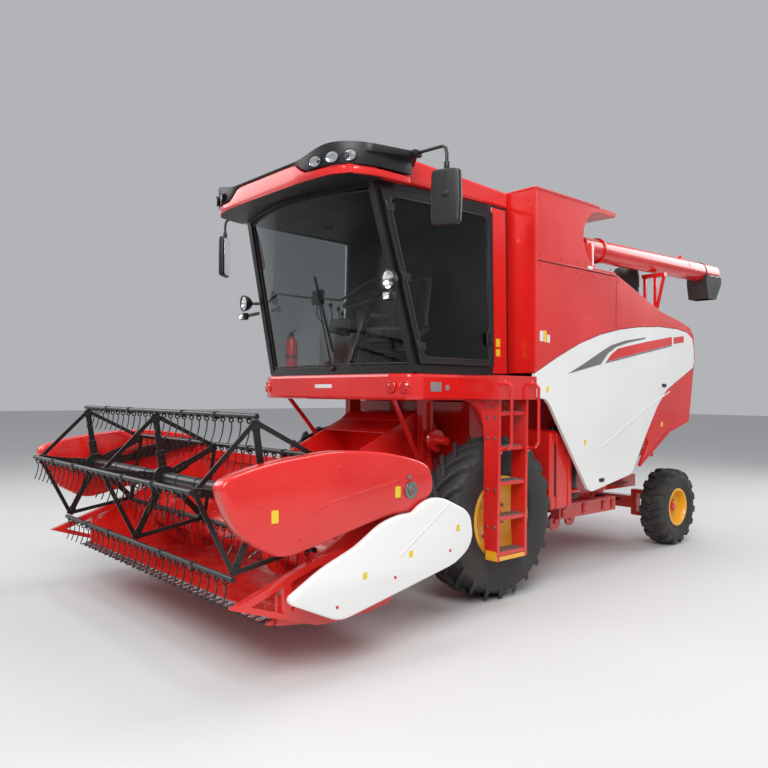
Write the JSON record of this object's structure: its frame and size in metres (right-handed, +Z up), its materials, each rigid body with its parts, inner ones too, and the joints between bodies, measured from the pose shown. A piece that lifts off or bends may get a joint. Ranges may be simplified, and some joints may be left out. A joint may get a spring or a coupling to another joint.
{
  "type": "combine harvester",
  "caption": "Self-propelled combine harvester with grain header, reel, glazed cab, grain tank, hinged side panels and swinging unloading auger.",
  "frame": {"origin": "on the ground, on the centre plane, under the middle of the overall length", "axes": "+Z up, +X to the machine's left side, -Y the way it drives, +Y from the reel to the end of the unloading auger"},
  "size_m": [3.32, 7.046, 3.515],
  "materials": {
    "red_paint": "gloss",
    "white_paint": "gloss",
    "black_paint": "satin",
    "yellow_paint": "gloss",
    "grey_castings": "satin",
    "tyre_rubber": "matt",
    "tinted_glass": "polished",
    "dark_plastic": "textured",
    "seat_fabric": "woven",
    "polished_rod": "polished",
    "spout_rubber": "matt"
  },
  "bodies": {
    "chassis": {"chassis_frame": "red_paint", "drive_axle": "grey_castings", "steer_axle": "red_paint", "thresher_body": "red_paint", "fuel_tank": "red_paint", "engine": "grey_castings", "grain_tank": "red_paint", "engine_hood": "red_paint", "straw_deflector": "red_paint", "air_intake": "black_paint", "cab_platform": "red_paint", "cab_frame": "black_paint", "cab_roof": "red_paint", "cab_visor": "black_paint", "windscreen": "tinted_glass", "side_window_right": "tinted_glass", "seat": "seat_fabric", "controls": "dark_plastic", "mirror_left": "dark_plastic", "mirror_right": "dark_plastic", "access_ladder": "red_paint"},
    "front_wheel_left": {"front_tyre_left": "tyre_rubber", "front_rim_left": "yellow_paint"},
    "front_wheel_right": {"front_tyre_right": "tyre_rubber", "front_rim_right": "yellow_paint"},
    "rear_knuckle_left": {"rear_knuckle_left": "red_paint"},
    "rear_knuckle_right": {"rear_knuckle_right": "red_paint"},
    "rear_wheel_left": {"rear_tyre_left": "tyre_rubber", "rear_rim_left": "yellow_paint"},
    "rear_wheel_right": {"rear_tyre_right": "tyre_rubber", "rear_rim_right": "yellow_paint"},
    "cab_door": {"cab_door": "black_paint", "cab_door_glass": "tinted_glass"},
    "side_panel_left": {"side_panel_left": "white_paint"},
    "side_panel_right": {"side_panel_right": "white_paint"},
    "unloading_auger": {"unloading_auger": "red_paint", "unloading_spout": "spout_rubber"},
    "header": {"feeder_house": "red_paint", "header_trough": "red_paint", "reel_drive_cover_left": "red_paint", "reel_drive_cover_right": "red_paint", "crop_shield_left": "white_paint", "crop_shield_right": "white_paint", "crop_divider_left": "red_paint", "crop_divider_right": "red_paint"},
    "table_auger": {"table_auger": "red_paint"},
    "reel_arms": {"reel_arm_left": "black_paint", "reel_arm_right": "black_paint"},
    "reel": {"reel_frame": "black_paint"},
    "lift_barrels": {"lift_barrels": "black_paint"},
    "lift_rods": {"lift_rods": "polished_rod"},
    "tine_bar_1": {"tine_bar_1": "black_paint"},
    "tine_bar_2": {"tine_bar_2": "black_paint"},
    "tine_bar_3": {"tine_bar_3": "black_paint"},
    "tine_bar_4": {"tine_bar_4": "black_paint"},
    "tine_bar_5": {"tine_bar_5": "black_paint"}
  },
  "joints": [
    {"name": "front_wheel_left_spin", "type": "hinge", "parent": "chassis", "child": "front_wheel_left", "pos_m": [1.06, -0.65302, 0.665], "axis": [1, 0, 0], "continuous": true},
    {"name": "rear_steer_left", "type": "hinge", "parent": "chassis", "child": "rear_knuckle_left", "pos_m": [0.7, 2.57198, 0.4225], "axis": [0, 0, 1], "range_deg": [-30, 30]},
    {"name": "rear_wheel_left_spin", "type": "hinge", "parent": "rear_knuckle_left", "child": "rear_wheel_left", "pos_m": [0.981, 2.57198, 0.4225], "axis": [1, 0, 0], "continuous": true},
    {"name": "side_panel_left_lift", "type": "hinge", "parent": "chassis", "child": "side_panel_left", "pos_m": [1.25, 1.24698, 2.42], "axis": [0, -1, 0], "range_deg": [0, 70]},
    {"name": "front_wheel_right_spin", "type": "hinge", "parent": "chassis", "child": "front_wheel_right", "pos_m": [-1.06, -0.65302, 0.665], "axis": [1, 0, 0], "continuous": true},
    {"name": "rear_steer_right", "type": "hinge", "parent": "chassis", "child": "rear_knuckle_right", "pos_m": [-0.7, 2.57198, 0.4225], "axis": [0, 0, 1], "range_deg": [-30, 30]},
    {"name": "rear_wheel_right_spin", "type": "hinge", "parent": "rear_knuckle_right", "child": "rear_wheel_right", "pos_m": [-0.981, 2.57198, 0.4225], "axis": [1, 0, 0], "continuous": true},
    {"name": "side_panel_right_lift", "type": "hinge", "parent": "chassis", "child": "side_panel_right", "pos_m": [-1.25, 1.24698, 2.42], "axis": [0, 1, 0], "range_deg": [0, 70]},
    {"name": "cab_door_swing", "type": "hinge", "parent": "chassis", "child": "cab_door", "pos_m": [1.04177, -1.43097, 1.9063], "axis": [0.079, 0.2402, -0.9675], "range_deg": [0, 75]},
    {"name": "unloading_auger_swing", "type": "hinge", "parent": "chassis", "child": "unloading_auger", "pos_m": [1.05, 0.71698, 3.09], "axis": [0, 0, -1], "range_deg": [0, 98]},
    {"name": "header_lift", "type": "hinge", "parent": "chassis", "child": "header", "pos_m": [0, -0.85302, 1.27], "axis": [-1, 0, 0], "range_deg": [-8.5, 15]},
    {"name": "table_auger_spin", "type": "hinge", "parent": "header", "child": "table_auger", "pos_m": [0, -2.33302, 0.56], "axis": [1, 0, 0], "continuous": true},
    {"name": "reel_lift", "type": "hinge", "parent": "header", "child": "reel_arms", "pos_m": [0, -2.07302, 1.2], "axis": [-1, 0, 0], "range_deg": [0, 22]},
    {"name": "reel_spin", "type": "hinge", "parent": "reel_arms", "child": "reel", "pos_m": [0, -3.02102, 1.049], "axis": [1, 0, 0], "continuous": true},
    {"name": "tine_bar_1_turn", "type": "hinge", "parent": "reel", "child": "tine_bar_1", "pos_m": [0, -3.09783, 1.53395], "axis": [1, 0, 0], "continuous": true},
    {"name": "tine_bar_2_turn", "type": "hinge", "parent": "reel", "child": "tine_bar_2", "pos_m": [0, -3.50598, 1.12581], "axis": [1, 0, 0], "continuous": true},
    {"name": "tine_bar_3_turn", "type": "hinge", "parent": "reel", "child": "tine_bar_3", "pos_m": [0, -3.24393, 0.61152], "axis": [1, 0, 0], "continuous": true},
    {"name": "tine_bar_4_turn", "type": "hinge", "parent": "reel", "child": "tine_bar_4", "pos_m": [0, -2.67383, 0.70181], "axis": [1, 0, 0], "continuous": true},
    {"name": "tine_bar_5_turn", "type": "hinge", "parent": "reel", "child": "tine_bar_5", "pos_m": [0, -2.58354, 1.27191], "axis": [1, 0, 0], "continuous": true},
    {"name": "lift_barrel_swing", "type": "hinge", "parent": "chassis", "child": "lift_barrels", "pos_m": [0, -0.98302, 0.5], "axis": [-1, 0, 0], "range_deg": [-8.3, 14.5]},
    {"name": "lift_rod_slide", "type": "slide", "parent": "lift_barrels", "child": "lift_rods", "axis": [0, -0.985, 0.1728], "range_m": [-0.118, 0.206]}
  ],
  "couplings": [
    {"joint": "rear_steer_right", "follows": "rear_steer_left", "ratio": 1},
    {"joint": "lift_barrel_swing", "follows": "header_lift", "ratio": 0.955},
    {"joint": "lift_rod_slide", "follows": "header_lift", "m_per_rad": 0.78},
    {"joint": "tine_bar_1_turn", "follows": "reel_spin", "ratio": -1},
    {"joint": "tine_bar_2_turn", "follows": "reel_spin", "ratio": -1},
    {"joint": "tine_bar_3_turn", "follows": "reel_spin", "ratio": -1},
    {"joint": "tine_bar_4_turn", "follows": "reel_spin", "ratio": -1},
    {"joint": "tine_bar_5_turn", "follows": "reel_spin", "ratio": -1}
  ]
}
